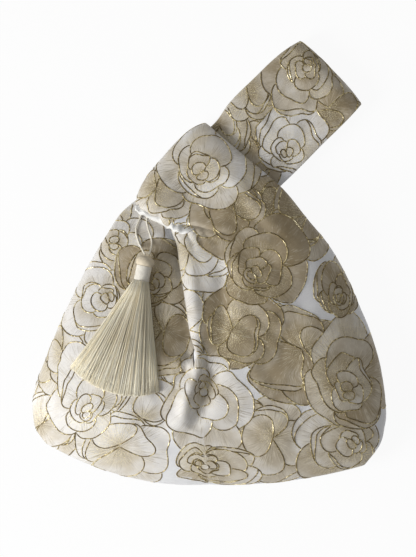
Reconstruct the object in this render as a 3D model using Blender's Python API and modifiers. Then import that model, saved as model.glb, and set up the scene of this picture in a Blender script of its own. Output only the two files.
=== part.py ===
"""Knot bag lying on its back, its long strap pulled through its short strap, with a tassel on a cord loop.

Metres. +Z is up, away from the surface that the bag lies on. +Y runs from the bottom seam towards the
straps and +X to the side that carries the short strap. The origin is under the middle of the bag.
"""
import math

import bmesh
import bpy
import numpy as np
from mathutils import Vector
from mathutils.bvhtree import BVHTree

# Body
BODY_WIDTH = 0.240
BODY_HEIGHT = 0.200
BODY_DEPTH = 0.039
BOTTOM_BOW = 0.0069
BOTTOM_ROUNDING = 0.060
BACK_ROUNDING = 0.026
SEAM_HEIGHT = 0.010
NECK_DEPTH = 0.1215

# Straps
LONG_STRAP_WIDTH = 0.065
LONG_STRAP_REACH = 0.115
LONG_STRAP_ANGLE = 46.5
SHORT_STRAP_WIDTH = 0.073
SHORT_STRAP_REACH = 0.030
SHORT_STRAP_ANGLE = 139.0
SHORT_STRAP_BOW = 0.0065
STRAP_END_ROUNDING = 0.009
STRAP_BACK_ROUNDING = 0.006
STRAP_HOLLOW = 0.0065

# Cloth
CLOTH = 0.0010
LINING = 0.0006
PLY_GAP = 0.0003
SEAM_GAP = 0.0002
CLEARANCE = 0.0003

# Tassel and its cord
CORD_DIAMETER = 0.00125
CORD_BIGHT = 0.0031
CORD_DROP = 0.0316
TASSEL_LEAN = 12.0
HEAD_WIDTH = 0.0112
HEAD_LENGTH = 0.0072
BAND_WIDTH = 0.0104
BAND_LENGTH = 0.0104
SKIRT_LENGTH = 0.0775
SKIRT_LEFT_ANGLE = 23.5
SKIRT_RIGHT_ANGLE = 17.5
SKIRT_END_THICKNESS = 0.0030

# How far the cloth reaches outwards, and the lining inwards, from the sheet that both follow
OUTWARD = PLY_GAP / 2 + CLOTH
INWARD = PLY_GAP / 2 + LINING
STACK = OUTWARD + INWARD + CLEARANCE

HALF_WIDTH = BODY_WIDTH / 2 - OUTWARD
CROSSING = np.array([-0.001, BODY_HEIGHT])

# Share of the way across a strip, from its outer edge to its inner edge
COLUMNS = [0.0, 0.02, 0.075, 0.19, 0.36, 0.54, 0.71, 0.85, 0.95, 1.0]


def body(across, up):
    """A point on the body, by its share of the half width and of the height."""
    return np.array([across * HALF_WIDTH, up * BODY_HEIGHT])


def along_strap(angle, reach, side):
    """A point beside the crossing: reach along a strap's own direction, side to its left."""
    turn = math.radians(angle)
    ahead = np.array([math.cos(turn), math.sin(turn)])
    left = np.array([-ahead[1], ahead[0]])
    return CROSSING + reach * ahead + side * left


def long_strap(reach, side):
    return along_strap(LONG_STRAP_ANGLE, reach, side * LONG_STRAP_WIDTH / 2)


def short_strap(reach, side):
    return along_strap(SHORT_STRAP_ANGLE, reach, 0.004 + side * SHORT_STRAP_WIDTH / 2)


def rising(share):
    """Quarter of an ellipse: upright at 0, level from 1 on."""
    return np.sqrt(np.clip(1 - (1 - np.clip(share, 0, 1)) ** 2, 0, 1))


def through(knots, values, at, limited):
    """Smooth curve through the values. A limited one never swings past its neighbours."""
    knots, values = np.asarray(knots, float), np.asarray(values, float)
    steps = np.diff(knots)
    slopes = (np.diff(values, axis=0).T / steps).T
    tangents = np.zeros_like(values)
    weights = (steps[1:] / (steps[1:] + steps[:-1])).reshape([-1] + [1] * (values.ndim - 1))
    tangents[1:-1] = slopes[:-1] * weights + slopes[1:] * (1 - weights)
    tangents[0], tangents[-1] = slopes[0], slopes[-1]
    if limited:
        turning = slopes[:-1] * slopes[1:] <= 0
        tangents[1:-1][turning] = 0
        largest = 3 * np.minimum(abs(slopes[:-1]), abs(slopes[1:]))
        tangents[1:-1] = np.clip(tangents[1:-1], -largest, largest)
    index = np.clip(np.searchsorted(knots, at, side="right") - 1, 0, len(steps) - 1)
    share = (at - knots[index]) / steps[index]
    shape = [-1] + [1] * (values.ndim - 1)
    t, step = share.reshape(shape), steps[index].reshape(shape)
    start, end = values[index], values[index + 1]
    leave, arrive = tangents[index] * step, tangents[index + 1] * step
    return (
        start * (2 * t**3 - 3 * t**2 + 1)
        + leave * (t**3 - 2 * t**2 + t)
        + end * (3 * t**2 - 2 * t**3)
        + arrive * (t**3 - t**2)
    )


# Heights that the strips are laid at, for the sheet between cloth and lining
LYING = OUTWARD
LIFTED = LYING + STACK + 0.0006
STRAP_TOP = LIFTED + 2 * INWARD + STRAP_HOLLOW
OVER_STRAP = STRAP_TOP + STACK + 0.0010
LIP_HEIGHT = STRAP_TOP + STACK + CORD_DIAMETER + 0.0020
CROWN = BODY_DEPTH - OUTWARD
LOOP_SEAM = (LYING + OVER_STRAP) / 2
END_SEAM = (LYING + STRAP_TOP) / 2
LOOP_EDGE = SHORT_STRAP_WIDTH / 2 + 0.006

NECK_FOOT = np.array([-0.0095, BODY_HEIGHT - NECK_DEPTH])


def middle(share):
    """The line down the body's middle, from the bottom edge to the foot of the neckline."""
    return NECK_FOOT * share


def neckline(across, down):
    """A point on the neckline, by its share of the half width and of the neckline's depth."""
    return np.array([across * HALF_WIDTH, BODY_HEIGHT - down * NECK_DEPTH])


# Each station across a strip: its outer and inner ends seen from above, the heights of the front
# sheet (outer edge, crest, inner edge), those of the back sheet, and the cells up to the next one.
SEAM = SEAM_HEIGHT
FOOT = 5
LEFT = [
    (body(-0.930, 0.138), middle(0), (SEAM, CROWN, CROWN), (SEAM, LYING, LYING), 3),
    (body(-0.984, 0.184), middle(0.12), (SEAM, CROWN, CROWN), (SEAM, LYING, LYING), 2),
    (body(-1.000, 0.235), middle(0.27), (SEAM, CROWN, CROWN), (SEAM, LYING, LYING), 3),
    (body(-0.997, 0.300), middle(0.55), (SEAM, CROWN, CROWN), (SEAM, LYING, LYING), 2),
    (body(-0.963, 0.370), middle(0.80), (SEAM, CROWN, CROWN), (SEAM, LYING, LYING), 2),
    (body(-0.918, 0.435), middle(1), (SEAM, CROWN, CROWN), (SEAM, LYING, LYING), 1),
    (body(-0.866, 0.530), neckline(-0.090, 0.925), (SEAM, 0.034, 0.031), (SEAM, 0.0030, LIFTED), 2),
    (body(-0.795, 0.635), neckline(-0.066, 0.807), (SEAM, 0.029, 0.025), (SEAM, LIFTED, LIFTED), 2),
    (body(-0.706, 0.740), neckline(-0.040, 0.634), (SEAM, 0.0245, 0.020), (SEAM, LIFTED, LIFTED), 2),
    (body(-0.592, 0.848), neckline(0.004, 0.453), (0.0125, 0.0185, 0.0160), (0.0070, LIFTED, LIFTED), 2),
    (body(-0.484, 0.924), neckline(0.060, 0.321), (0.0105, 0.0135, 0.0130), (0.0068, LIFTED, LIFTED), 1),
    (long_strap(-0.0385, 0.85), long_strap(-0.0150, -1.0),
     (0.0092, STRAP_TOP, STRAP_TOP), (0.0068, LIFTED, LIFTED), 2),
    (long_strap(-0.0180, 0.98), long_strap(0.0050, -1.0),
     (0.0092, STRAP_TOP, STRAP_TOP), (0.0068, LIFTED, LIFTED), 2),
    (long_strap(0.0100, 0.93), long_strap(0.0200, -1.0),
     (0.0092, STRAP_TOP, STRAP_TOP - 0.001), (0.0068, LIFTED, LIFTED), 2),
    (long_strap(LOOP_EDGE - 0.006, 0.87), long_strap(LOOP_EDGE - 0.006, -1.0),
     (0.0094, STRAP_TOP, STRAP_TOP - 0.001), (0.0066, LIFTED, LIFTED), 2),
    (long_strap(LOOP_EDGE + 0.007, 0.95), long_strap(LOOP_EDGE + 0.007, -1.0),
     (0.0100, STRAP_TOP, STRAP_TOP - 0.001), (LIFTED, LIFTED, LIFTED), 2),
    (long_strap(0.65 * LONG_STRAP_REACH, 0.98), long_strap(0.65 * LONG_STRAP_REACH, -0.98),
     (0.0110, STRAP_TOP, 0.0110), (LYING, LYING, LYING), 3),
    (long_strap(LONG_STRAP_REACH - 0.011, 0.95), long_strap(LONG_STRAP_REACH - 0.011, -0.97),
     (0.0110, STRAP_TOP, 0.0110), (LYING, LYING, LYING), 3),
    (long_strap(LONG_STRAP_REACH, 0.88), long_strap(LONG_STRAP_REACH, -0.95),
     (0.0110, STRAP_TOP, 0.0110), (LYING, LYING, LYING), 0),
]
RIGHT = [
    (body(0.938, 0.128), middle(0), (SEAM, CROWN, CROWN), (SEAM, LYING, LYING), 3),
    (body(0.985, 0.172), middle(0.12), (SEAM, CROWN, CROWN), (SEAM, LYING, LYING), 2),
    (body(1.000, 0.225), middle(0.27), (SEAM, CROWN, CROWN), (SEAM, LYING, LYING), 3),
    (body(1.000, 0.290), middle(0.55), (SEAM, CROWN, CROWN), (SEAM, LYING, LYING), 2),
    (body(0.985, 0.360), middle(0.80), (SEAM, CROWN, CROWN), (SEAM, LYING, LYING), 2),
    (body(0.960, 0.430), middle(1), (SEAM, CROWN, CROWN), (SEAM, LYING, LYING), 1),
    (body(0.915, 0.515), neckline(-0.071, 0.925), (SEAM, 0.0375, 0.036), (SEAM, LYING, LYING), 2),
    (body(0.863, 0.600), neckline(-0.100, 0.807), (SEAM, 0.0375, 0.034), (SEAM, LYING, LYING), 2),
    (body(0.785, 0.725), neckline(-0.130, 0.609), (SEAM, 0.0365, 0.030), (SEAM, LYING, LYING), 2),
    (body(0.690, 0.825), neckline(-0.160, 0.428), (0.0140, 0.034, 0.026), (0.0050, LYING, LYING), 2),
    (body(0.580, 0.905), neckline(-0.178, 0.305), (0.0150, 0.030, 0.0225), (0.0020, LYING, LYING), 2),
    (short_strap(-0.0400, -1.0), neckline(-0.214, 0.242), (0.0155, 0.0250, 0.0195), (LYING, LYING, LYING), 3),
    (short_strap(-0.0050, -1.0), short_strap(0.0090, 0.95), (OVER_STRAP, 0.0215, LIP_HEIGHT), (LYING, LYING, LYING), 2),
    (short_strap(SHORT_STRAP_REACH - 0.011, -0.99), short_strap(SHORT_STRAP_REACH - 0.009, 0.97),
     (OVER_STRAP, 0.0200, LIP_HEIGHT), (LYING, LYING, LYING), 3),
    (short_strap(SHORT_STRAP_REACH, -1.0), short_strap(SHORT_STRAP_REACH, 0.95),
     (OVER_STRAP, 0.0190, LIP_HEIGHT), (LYING, LYING, LYING), 0),
]


def strip(stations, front, end_bow, end_seam, inner_fall):
    """The points of one strip of one panel, row by row from the bottom edge to the strap's end."""
    outer = np.array([station[0] for station in stations])
    inner = np.array([station[1] for station in stations])
    heights = np.array([station[2 if front else 3] for station in stations])
    centre = (outer + inner) / 2
    centre[:FOOT] = inner[:FOOT] + centre[FOOT] - inner[FOOT]
    knots = np.append(0, np.cumsum(np.linalg.norm(np.diff(centre, axis=0), axis=1)))
    rows = []
    for number, station in enumerate(stations[:-1]):
        share = np.arange(station[4]) / station[4]
        if number == 0:
            share = share**1.5
        if number == len(stations) - 2:
            share = 1 - (1 - share) ** 1.7
        rows.extend(knots[number] + share * (knots[number + 1] - knots[number]))
    rows = np.array(rows + [knots[-1]])
    outer = through(knots, outer, rows, False)
    inner = through(knots, inner, rows, False)
    shared = rows <= knots[FOOT]
    inner[shared] = middle(1) * rows[shared, None] / knots[FOOT]
    heights = through(knots, heights, rows, True)
    across = np.array(COLUMNS)
    points = outer[:, None] * (1 - across[:, None]) + inner[:, None] * across[:, None]

    # The bottom edge and the strap's end are bowed outwards
    near_bottom = (1 - np.clip(rows / (0.5 * NECK_FOOT[1]), 0, 1)) ** 2
    points[:, :, 1] -= BOTTOM_BOW * near_bottom[:, None] * 4 * across * (1 - across)
    width = outer[-1] - inner[-1]
    ahead = np.array([width[1], -width[0]]) / np.linalg.norm(width)
    if ahead @ (outer[-1] - outer[-4]) < 0:
        ahead = -ahead
    near_end = np.clip(1 - (rows[-1] - rows) / (3 * STRAP_END_ROUNDING), 0, 1)
    points += (end_bow * near_end[:, None] * (1 - abs(2 * across - 1) ** 3.5))[:, :, None] * ahead

    # The side curves up out of its seam, and the neckline curves down to its edge
    side = 0.70 if front else BACK_ROUNDING / np.linalg.norm(outer - inner, axis=1)[:, None]
    held = heights[:, 0:1] - SEAM if front else SEAM - heights[:, 0:1]
    side = side * (1 - (0.6 * np.clip(held / 0.006, 0, 1) if front else 0.5 * np.clip(held / 0.002, 0, 1)))
    rise = rising(across / side)
    fall = 1 - rising((1 - across) / inner_fall)
    level = heights[:, 0:1] * (1 - rise) + heights[:, 1:2] * (rise - fall) + heights[:, 2:3] * fall

    # It all closes on the seam at the bottom and at the strap's end
    from_bottom = np.append(0, np.cumsum(np.linalg.norm(np.diff(inner, axis=0), axis=1)))
    bottom = rising(from_bottom / (BOTTOM_ROUNDING if front else BACK_ROUNDING))[:, None]
    end = rising((rows[-1] - rows) / (STRAP_END_ROUNDING if front else STRAP_BACK_ROUNDING))[:, None]
    level = SEAM + (level - SEAM) * bottom
    level = end_seam + (level - end_seam) * end
    sewn = (1 - rise * bottom) * (held < 0.0001) + (1 - end)
    level += (SEAM_GAP / 2 if front else -SEAM_GAP / 2) * np.clip(sewn, 0, 1)
    return np.dstack([points, level])


def sheet(name, front, lining):
    """Both strips of one panel as one open mesh, facing out of the bag."""
    mesh = bmesh.new()
    for stations, bow, seam, fall in (
        (LEFT, 0.002, END_SEAM, 0.5),
        (RIGHT, SHORT_STRAP_BOW, LOOP_SEAM, 0.2),
    ):
        points = strip(stations, front, bow, seam, fall)
        if lining:
            points = points[1:-1, 1:]
        rows, columns = points.shape[:2]
        grid = bmesh.ops.create_grid(mesh, x_segments=columns - 1, y_segments=rows - 1, size=0.5)
        for vertex in grid["verts"]:
            column = round((vertex.co.x + 0.5) * (columns - 1))
            row = round((vertex.co.y + 0.5) * (rows - 1))
            vertex.co = Vector(points[row, column])
    bmesh.ops.remove_doubles(mesh, verts=mesh.verts, dist=1e-6)
    mesh.normal_update()
    wrong = [face for face in mesh.faces if (face.normal.z > 0) != front]
    bmesh.ops.reverse_faces(mesh, faces=wrong)
    for face in mesh.faces:
        face.smooth = True
    data = bpy.data.meshes.new(name)
    mesh.to_mesh(data)
    mesh.free()
    return data


def material(name, colour, roughness, sheen=0.0):
    made = bpy.data.materials.new(name)
    made.use_nodes = True
    shader = made.node_tree.nodes["Principled BSDF"]
    shader.inputs["Base Color"].default_value = (*colour, 1)
    shader.inputs["Roughness"].default_value = roughness
    shader.inputs["Metallic"].default_value = 0.0
    shader.inputs["Sheen Weight"].default_value = sheen
    return made


def add(name, data, finish):
    thing = bpy.data.objects.new(name, data)
    data.materials.append(finish)
    bag.objects.link(thing)
    thing.parent = root
    return thing


def panel(name, front, lining, finish):
    """A panel's cloth outside the sheet, or its lining inside it, half of the gap away from it."""
    thing = add(name, sheet(name, front, lining), finish)
    apart = thing.modifiers.new("Ply gap", "DISPLACE")
    apart.mid_level = 0
    apart.direction = "NORMAL"
    apart.strength = -PLY_GAP / 2 if lining else PLY_GAP / 2
    thick = thing.modifiers.new("Thickness", "SOLIDIFY")
    thick.thickness = LINING if lining else CLOTH
    thick.offset = -1 if lining else 1
    return thing


for old in list(bpy.data.objects):
    bpy.data.objects.remove(old, do_unlink=True)

bag = bpy.data.collections.new("KnotBag")
bpy.context.scene.collection.children.link(bag)
root = bpy.data.objects.new("KnotBagOrigin", None)
root.empty_display_size = 0.05
bag.objects.link(root)

brocade = material("Silver brocade", (0.76, 0.74, 0.69), 0.45, 0.3)
satin = material("White satin lining", (0.86, 0.86, 0.84), 0.35)
silk = material("Cream silk thread", (0.85, 0.81, 0.68), 0.40, 0.2)
twine = material("Cream silk cord", (0.86, 0.83, 0.72), 0.45)

outer_front = panel("outer_front", True, False, brocade)
panel("outer_back", False, False, brocade)
panel("lining_front", True, True, satin)
panel("lining_back", False, True, satin)

# The tassel lies on the front, so its pieces take their heights from the cloth under them
bpy.context.view_layer.update()
cloth = BVHTree.FromObject(outer_front, bpy.context.evaluated_depsgraph_get())


def layers(x, y):
    """Heights at which a line straight down meets the front cloth, highest first."""
    found, height = [], 0.2
    while True:
        hit = cloth.ray_cast(Vector((x, y, height)), Vector((0, 0, -1)))[0]
        if hit is None:
            return found
        found.append(hit.z)
        height = hit.z - 0.00001


def ground(x, y):
    """Height of the front cloth under a point."""
    return max(layers(x, y), default=0.0)


LEAN = math.radians(TASSEL_LEAN)
DOWN = Vector((-math.sin(LEAN), -math.cos(LEAN)))
SIDE = Vector((math.cos(LEAN), -math.sin(LEAN)))
LIP = short_strap(SHORT_STRAP_REACH - 0.008, 0.92)
HEAD_TOP = Vector((LIP[0], LIP[1] - CORD_DROP))
BAND_TOP = HEAD_TOP + DOWN * (HEAD_LENGTH + CLEARANCE)
SKIRT_TOP = BAND_TOP + DOWN * (BAND_LENGTH + CLEARANCE)


def seat(top, length, width):
    """Middle height of a round piece that lies along the tassel, clear of the cloth under it."""
    highest = 0.0
    for share in (0, 0.25, 0.5, 0.75, 1):
        for side in (-0.9, -0.6, -0.3, 0, 0.3, 0.6, 0.9):
            spot = top + DOWN * (length * share) + SIDE * (width / 2 * side)
            rest = ground(spot.x, spot.y) + width / 2 * math.sqrt(1 - side**2)
            highest = max(highest, rest)
    return highest + CLEARANCE


axis_height = max(seat(HEAD_TOP, HEAD_LENGTH, HEAD_WIDTH), seat(BAND_TOP, BAND_LENGTH, BAND_WIDTH))


def turned(name, top, profile, finish):
    """A round piece along the tassel, turned from its profile of (distance from its top, radius)."""
    mesh = bmesh.new()
    chain = [mesh.verts.new((radius, 0, -down)) for down, radius in profile]
    for first, second in zip(chain, chain[1:]):
        mesh.edges.new((first, second))
    data = bpy.data.meshes.new(name)
    mesh.to_mesh(data)
    mesh.free()
    thing = add(name, data, finish)
    screw = thing.modifiers.new("Turn", "SCREW")
    screw.steps = 20
    screw.render_steps = 20
    screw.use_merge_vertices = True
    screw.merge_threshold = 0.00001
    screw.use_smooth_shade = True
    thing.location = (top.x, top.y, axis_height)
    thing.rotation_euler = (math.radians(-90), 0, -LEAN)
    return thing


head_profile = [(HEAD_LENGTH * (1 - math.cos(turn)) / 2, HEAD_WIDTH / 2 * math.sin(turn) ** 0.8)
                for turn in np.linspace(0, math.pi, 10)]
head_profile[0], head_profile[-1] = (0.0, 0.0), (HEAD_LENGTH, 0.0)
turned("tassel_head", HEAD_TOP, head_profile, silk)

WAIST = BAND_WIDTH / 2
band_profile = [(0.0, 0.0), (0.0, 0.86 * WAIST), (0.1 * BAND_LENGTH, WAIST),
                (0.9 * BAND_LENGTH, WAIST), (BAND_LENGTH, 0.9 * WAIST), (BAND_LENGTH, 0.0)]
turned("tassel_band", BAND_TOP, band_profile, silk)


def skirt(name, finish):
    """The threads spread as a fan that lies on the bag, thinning towards their ends."""
    spread_rows, spread_columns = 12, 14
    reach = SKIRT_LENGTH
    left, right = math.tan(math.radians(SKIRT_LEFT_ANGLE)), math.tan(math.radians(SKIRT_RIGHT_ANGLE))
    start = BAND_WIDTH / (left + right)
    apex = SKIRT_TOP - DOWN * start + SIDE * (start * left - BAND_WIDTH / 2)
    mesh = bmesh.new()
    grid = bmesh.ops.create_grid(mesh, x_segments=spread_columns, y_segments=spread_rows, size=0.5)
    low = {}
    for vertex in grid["verts"]:
        across, along = vertex.co.x * 2, vertex.co.y + 0.5
        angle = math.radians(SKIRT_LEFT_ANGLE) * min(across, 0) + math.radians(SKIRT_RIGHT_ANGLE) * max(across, 0)
        distance = start / math.cos(angle) * (1 - along) + (start + reach * (1 - 0.045 * across**2)) * along
        spot = apex + (DOWN * math.cos(angle) + SIDE * math.sin(angle)) * distance
        full = BAND_WIDTH * (1 - along) ** 1.3 * 0.82 + SKIRT_END_THICKNESS
        depth = full * (0.22 + 0.78 * math.sqrt(max(0.0, 1 - across**2)))
        vertex.co = Vector((spot.x, spot.y, 0))
        low[vertex.index] = (spot, depth, along)
    for vertex in mesh.verts:
        spot, depth, along = low[vertex.index]
        rest = max(ground(spot.x + dx, spot.y + dy) for dx in (-0.002, 0, 0.002) for dy in (-0.002, 0, 0.002))
        hung = max(axis_height - depth / 2, rest + 2 * CLEARANCE)
        vertex.co.z = hung * (1 - along) ** 6 + (rest + 2 * CLEARANCE) * (1 - (1 - along) ** 6)
    below = list(mesh.verts)
    copy = bmesh.ops.duplicate(mesh, geom=mesh.faces[:] + mesh.edges[:] + mesh.verts[:])
    for vertex in below:
        copy["vert_map"][vertex].co.z = vertex.co.z + low[vertex.index][1]
    lower = [face for face in mesh.faces if all(corner in set(below) for corner in face.verts)]
    upper = [face for face in mesh.faces if face not in set(lower)]
    bmesh.ops.bridge_loops(mesh, edges=[edge for edge in mesh.edges if edge.is_boundary])
    mesh.normal_update()
    bmesh.ops.recalc_face_normals(mesh, faces=mesh.faces)
    for face in upper:
        face.smooth = True
    data = bpy.data.meshes.new(name)
    mesh.to_mesh(data)
    mesh.free()
    return add(name, data, finish)


skirt("tassel_skirt", silk)

# The cord leaves the tassel's head, is sewn under the short strap's lower edge and comes back
CORD_LIFT = CORD_DIAMETER / 2 + CLEARANCE
bight = Vector((LIP[0], LIP[1] + 0.0020))
entry = HEAD_TOP - DOWN * (CLEARANCE + 0.0007)
route = [
    (entry.x - 0.0014, entry.y),
    (HEAD_TOP.x - 0.0032, HEAD_TOP.y + 0.0045),
    (HEAD_TOP.x - 0.0064, HEAD_TOP.y + 0.0117),
    (HEAD_TOP.x - 0.0074, HEAD_TOP.y + 0.0180),
    (bight.x - 0.0045, bight.y - 0.0070),
    *[(bight.x - CORD_BIGHT * math.cos(turn), bight.y + CORD_BIGHT * math.sin(turn))
      for turn in np.radians([-10, 30, 70, 110, 150, 190])],
    (bight.x - 0.0002, bight.y - 0.0080),
    (HEAD_TOP.x + 0.0010, HEAD_TOP.y + 0.0180),
    (HEAD_TOP.x + 0.0033, HEAD_TOP.y + 0.0100),
    (HEAD_TOP.x + 0.0028, HEAD_TOP.y + 0.0045),
    (entry.x + 0.0014, entry.y),
]


def resting(x, y):
    """Height of the cord's middle where it lies on the long strap, also under the short one."""
    found = layers(x, y)
    return (found[2] if len(found) > 3 else max(found, default=0.0)) + CORD_LIFT


plan = np.array(route)
knots = np.append(0, np.cumsum(np.linalg.norm(np.diff(plan, axis=0), axis=1)))
stops = np.linspace(0, knots[-1], 61)
plan = through(knots, plan, stops, False)
lying = np.array([max(resting(x + dx, y + dy) for dx in (-0.001, 0, 0.001) for dy in (-0.001, 0, 0.001))
                  for x, y in plan])
for _ in range(6):
    lying[1:-1] = np.maximum(lying[1:-1], (lying[:-2] + 2 * lying[1:-1] + lying[2:]) / 4)
reach_up = np.clip(1 - np.minimum(stops, knots[-1] - stops) / 0.008, 0, 1) ** 1.5
lying = lying * (1 - reach_up) + np.maximum(axis_height, lying) * reach_up

curve = bpy.data.curves.new("hanging_cord", "CURVE")
curve.dimensions = "3D"
curve.bevel_depth = CORD_DIAMETER / 2
curve.bevel_resolution = 2
curve.use_fill_caps = True
spline = curve.splines.new("POLY")
spline.points.add(len(stops) - 1)
for point, place, height in zip(spline.points, plan, lying):
    point.co = (place[0], place[1], height, 1)
add("hanging_cord", curve, twine)

# The origin goes under the middle of the bag's own outline
corners = np.array([outer_front.matrix_world @ Vector(corner) for corner in outer_front.bound_box])
root.location = (-corners[:, 0].mean(), -corners[:, 1].mean(), 0)
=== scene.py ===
"""Knot bag of silver rose brocade with a cream silk tassel, lying on its back.

Metres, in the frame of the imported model: +Z up from the table, +Y from the bottom seam to the straps.
"""

import math

import bpy
import numpy as np
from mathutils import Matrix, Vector
from mathutils.bvhtree import BVHTree
from mathutils.geometry import barycentric_transform
from mathutils.kdtree import KDTree


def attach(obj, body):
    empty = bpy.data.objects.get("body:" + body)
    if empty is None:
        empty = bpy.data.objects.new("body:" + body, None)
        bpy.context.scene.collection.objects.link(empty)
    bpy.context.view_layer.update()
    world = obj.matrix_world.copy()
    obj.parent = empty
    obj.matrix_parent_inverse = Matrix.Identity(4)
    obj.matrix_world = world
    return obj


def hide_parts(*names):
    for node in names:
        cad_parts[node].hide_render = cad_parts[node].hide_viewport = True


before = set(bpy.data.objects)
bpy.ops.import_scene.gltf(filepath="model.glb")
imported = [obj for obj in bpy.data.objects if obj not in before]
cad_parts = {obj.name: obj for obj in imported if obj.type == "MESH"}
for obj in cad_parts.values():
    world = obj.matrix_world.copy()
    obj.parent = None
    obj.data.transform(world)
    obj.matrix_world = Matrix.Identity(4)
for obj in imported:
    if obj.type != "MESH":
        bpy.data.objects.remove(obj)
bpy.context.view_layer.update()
bpy.ops.object.select_all(action="DESELECT")

# Camera straight above the bag. The bag's outline lies about 10 mm above the table and is seen there at
# 0.6818 mm to a pixel of the 416 x 557 picture.
PIXEL = 0.0006818
EYE_HEIGHT = 2.4
bpy.ops.object.camera_add(location=(-1.0 * PIXEL, -18.0 * PIXEL, EYE_HEIGHT), rotation=(0, 0, 0))
camera = bpy.context.object
camera.name = "Straight above"
camera.data.sensor_fit = "VERTICAL"
camera.data.sensor_height = 24.0
camera.data.lens = 24.0 * (EYE_HEIGHT - 0.010) / (557 * PIXEL)
camera.data.clip_end = 10.0
bpy.context.scene.camera = camera


# Hanging cord: a thin two-ply cream silk cord, sewn in a loop under the short strap's lower edge. Both
# legs come down over the bag and go into the top of the tassel's head.
CORD_DIAMETER = 0.00125
CORD_TURN = 0.0032
CORD_SIDES = 14
CORD_ROUTE = [
    (-0.04343, 0.00404, 0.03008), (-0.04474, 0.00629, 0.02611), (-0.04658, 0.00974, 0.02120),
    (-0.04817, 0.01331, 0.01947), (-0.04892, 0.01579, 0.01873), (-0.04947, 0.01837, 0.01801),
    (-0.04951, 0.02220, 0.01698), (-0.04822, 0.02588, 0.01592), (-0.04718, 0.02833, 0.01519),
    (-0.04644, 0.03083, 0.01450), (-0.04558, 0.03464, 0.01355), (-0.04478, 0.03843, 0.01285),
    (-0.04256, 0.03973, 0.01272), (-0.04012, 0.03890, 0.01287), (-0.03925, 0.03526, 0.01344),
    (-0.04107, 0.03172, 0.01424), (-0.04229, 0.02936, 0.01481), (-0.04246, 0.02686, 0.01543),
    (-0.04171, 0.02297, 0.01647), (-0.04069, 0.01916, 0.01753), (-0.03979, 0.01668, 0.01823),
    (-0.03908, 0.01419, 0.01889), (-0.03899, 0.01032, 0.02078), (-0.03975, 0.00649, 0.02598),
    (-0.04063, 0.00404, 0.03008),
]


def smooth_line(points, spacing):
    """Points along a smooth curve through the given ones, about spacing apart."""
    points = np.asarray(points, float)
    knots = np.append(0, np.cumsum(np.linalg.norm(np.diff(points, axis=0), axis=1)))
    slopes = np.gradient(points, knots, axis=0)
    at = np.linspace(0, knots[-1], max(2, int(knots[-1] / spacing)))
    low = np.clip(np.searchsorted(knots, at, side="right") - 1, 0, len(knots) - 2)
    step = (knots[low + 1] - knots[low])[:, None]
    t = ((at - knots[low]) / (knots[low + 1] - knots[low]))[:, None]
    return (
        points[low] * (2 * t**3 - 3 * t**2 + 1)
        + slopes[low] * step * (t**3 - 2 * t**2 + t)
        + points[low + 1] * (3 * t**2 - 2 * t**3)
        + slopes[low + 1] * step * (t**3 - t**2)
    )


def tube(name, lines, sides, radius_at, up_at=None):
    """One closed mesh of a tube along each line. radius_at(line number, lengths) gives each ring's
    (width, height); up_at(line number) its upward directions."""
    corners, faces, lengths, around, own = [], [], [], [], []
    for number, line in enumerate(lines):
        line = np.asarray(line)
        along = np.gradient(line, axis=0)
        along /= np.linalg.norm(along, axis=1)[:, None] + 1e-12
        up = np.tile([0.0, 0.0, 1.0], (len(line), 1)) if up_at is None else up_at(number)
        across = np.cross(along, up)
        across /= np.linalg.norm(across, axis=1)[:, None] + 1e-12
        up = np.cross(across, along)
        run = np.append(0, np.cumsum(np.linalg.norm(np.diff(line, axis=0), axis=1)))
        wide, high = radius_at(number, run)
        turn = np.arange(sides) * 2 * np.pi / sides
        ring = (
            line[:, None]
            + across[:, None] * (np.cos(turn)[None, :] * wide)[:, :, None]
            + up[:, None] * (np.sin(turn)[None, :] * high)[:, :, None]
        )
        first = sum(len(c) for c in corners)
        corners.append(ring.reshape(-1, 3))
        lengths.append(np.repeat(run, sides))
        around.append(np.tile(turn / (2 * np.pi), len(line)))
        own.append(np.full(len(line) * sides, (number * 0.618034) % 1))
        count = len(line)
        for i in range(count - 1):
            for j in range(sides):
                a, b = first + i * sides + j, first + i * sides + (j + 1) % sides
                faces.append((a, b, b + sides, a + sides))
        faces.append(tuple(first + j for j in reversed(range(sides))))
        faces.append(tuple(first + (count - 1) * sides + j for j in range(sides)))
    mesh = bpy.data.meshes.new(name)
    mesh.from_pydata(np.concatenate(corners).tolist(), [], faces)
    measure = mesh.attributes.new("run", "FLOAT_VECTOR", "POINT")
    values = np.column_stack([np.concatenate(lengths), np.concatenate(around), np.concatenate(own)])
    measure.data.foreach_set("vector", values.ravel())
    mesh.shade_smooth()
    thing = bpy.data.objects.new(name, mesh)
    bpy.context.scene.collection.objects.link(thing)
    return thing


def two_ply(number, run):
    """Two strands twisted together: the section is a little longer one way, and turns along the cord."""
    turn = np.arange(CORD_SIDES) * 2 * np.pi / CORD_SIDES
    twist = 2 * np.pi * run / CORD_TURN
    radius = CORD_DIAMETER / 2 * (0.90 + 0.13 * np.cos(2 * (turn[None, :] - twist[:, None])))
    return radius, radius


def paint(name, colour, roughness):
    """A new material and its shader."""
    made = bpy.data.materials.new(name)
    made.use_nodes = True
    shader = made.node_tree.nodes["Principled BSDF"]
    shader.inputs["Base Color"].default_value = (*colour, 1)
    shader.inputs["Roughness"].default_value = roughness
    return made, shader


def wire(tree, kind, *inputs, out=0, **settings):
    """Adds a node, sets its settings, gives its inputs values or links by number or name, and returns
    one of its outputs."""
    made = tree.nodes.new(kind)
    for key, value in settings.items():
        setattr(made, key, value)
    for socket, value in inputs:
        if isinstance(value, bpy.types.NodeSocket):
            tree.links.new(value, made.inputs[socket])
        else:
            made.inputs[socket].default_value = value
    return made.outputs[out]


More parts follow.
